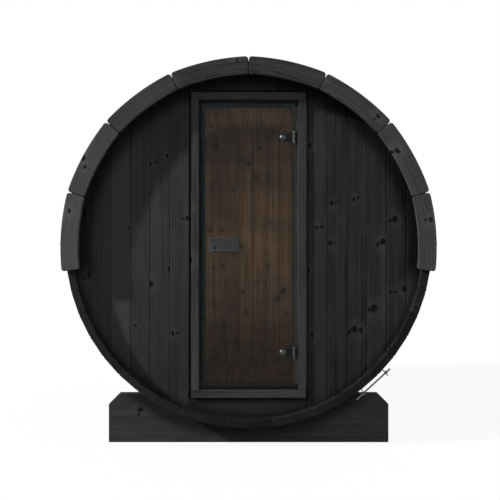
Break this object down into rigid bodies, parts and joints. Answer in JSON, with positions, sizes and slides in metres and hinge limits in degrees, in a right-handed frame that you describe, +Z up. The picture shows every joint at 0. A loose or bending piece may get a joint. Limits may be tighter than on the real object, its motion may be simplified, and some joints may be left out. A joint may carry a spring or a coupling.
{
  "type": "barrel sauna",
  "caption": "Barrel sauna of black stained staves on two cradles, with boarded end walls, arched fascias, a felt roof, steel hoops and a framed bronze glass door that swings outward.",
  "frame": {"origin": "on the ground under the middle of the barrel", "axes": "+Z up, +Y from the door to the back wall, +X to the right as seen from the door side"},
  "size_m": [2.1152, 2.156, 2.1959],
  "materials": {
    "stained_boards": "matte",
    "stained_trim": "matte",
    "roof_felt": "matte",
    "dark_metal": "satin",
    "steel": "satin",
    "bronze_glass": "gloss"
  },
  "bodies": {
    "cabin": {"right_floor_staves": "stained_boards", "right_low_staves": "stained_boards", "right_high_staves": "stained_boards", "right_roof_staves": "stained_boards", "left_roof_staves": "stained_boards", "left_high_staves": "stained_boards", "left_low_staves": "stained_boards", "left_floor_staves": "stained_boards", "front_wall_left": "stained_boards", "front_wall_right": "stained_boards", "front_wall_over_door": "stained_boards", "front_wall_under_door": "stained_boards", "back_wall": "stained_boards", "front_cradle": "stained_boards", "rear_cradle": "stained_boards", "front_fascia_left": "stained_trim", "front_fascia_right": "stained_trim", "rear_fascia_left": "stained_trim", "rear_fascia_right": "stained_trim", "frame_left_jamb": "stained_trim", "frame_right_jamb": "stained_trim", "frame_head": "stained_trim", "frame_sill": "stained_trim", "roof_cover": "roof_felt", "left_drip_edge": "dark_metal", "right_drip_edge": "dark_metal", "front_hoop": "steel", "middle_hoop": "steel", "rear_hoop": "steel", "tension_rods": "steel", "tension_nuts": "steel", "upper_jamb_hinge": "steel", "lower_jamb_hinge": "steel"},
    "door": {"door_glass": "bronze_glass", "upper_glass_clamp": "steel", "lower_glass_clamp": "steel", "outer_handle": "stained_boards", "inner_handle": "stained_boards", "handle_spacers": "dark_metal"}
  },
  "joints": [
    {"name": "door_hinge", "type": "hinge", "parent": "cabin", "child": "door", "pos_m": [0.2575, -0.995, 1.145], "axis": [0, 0, 1], "range_deg": [0, 110]}
  ]
}
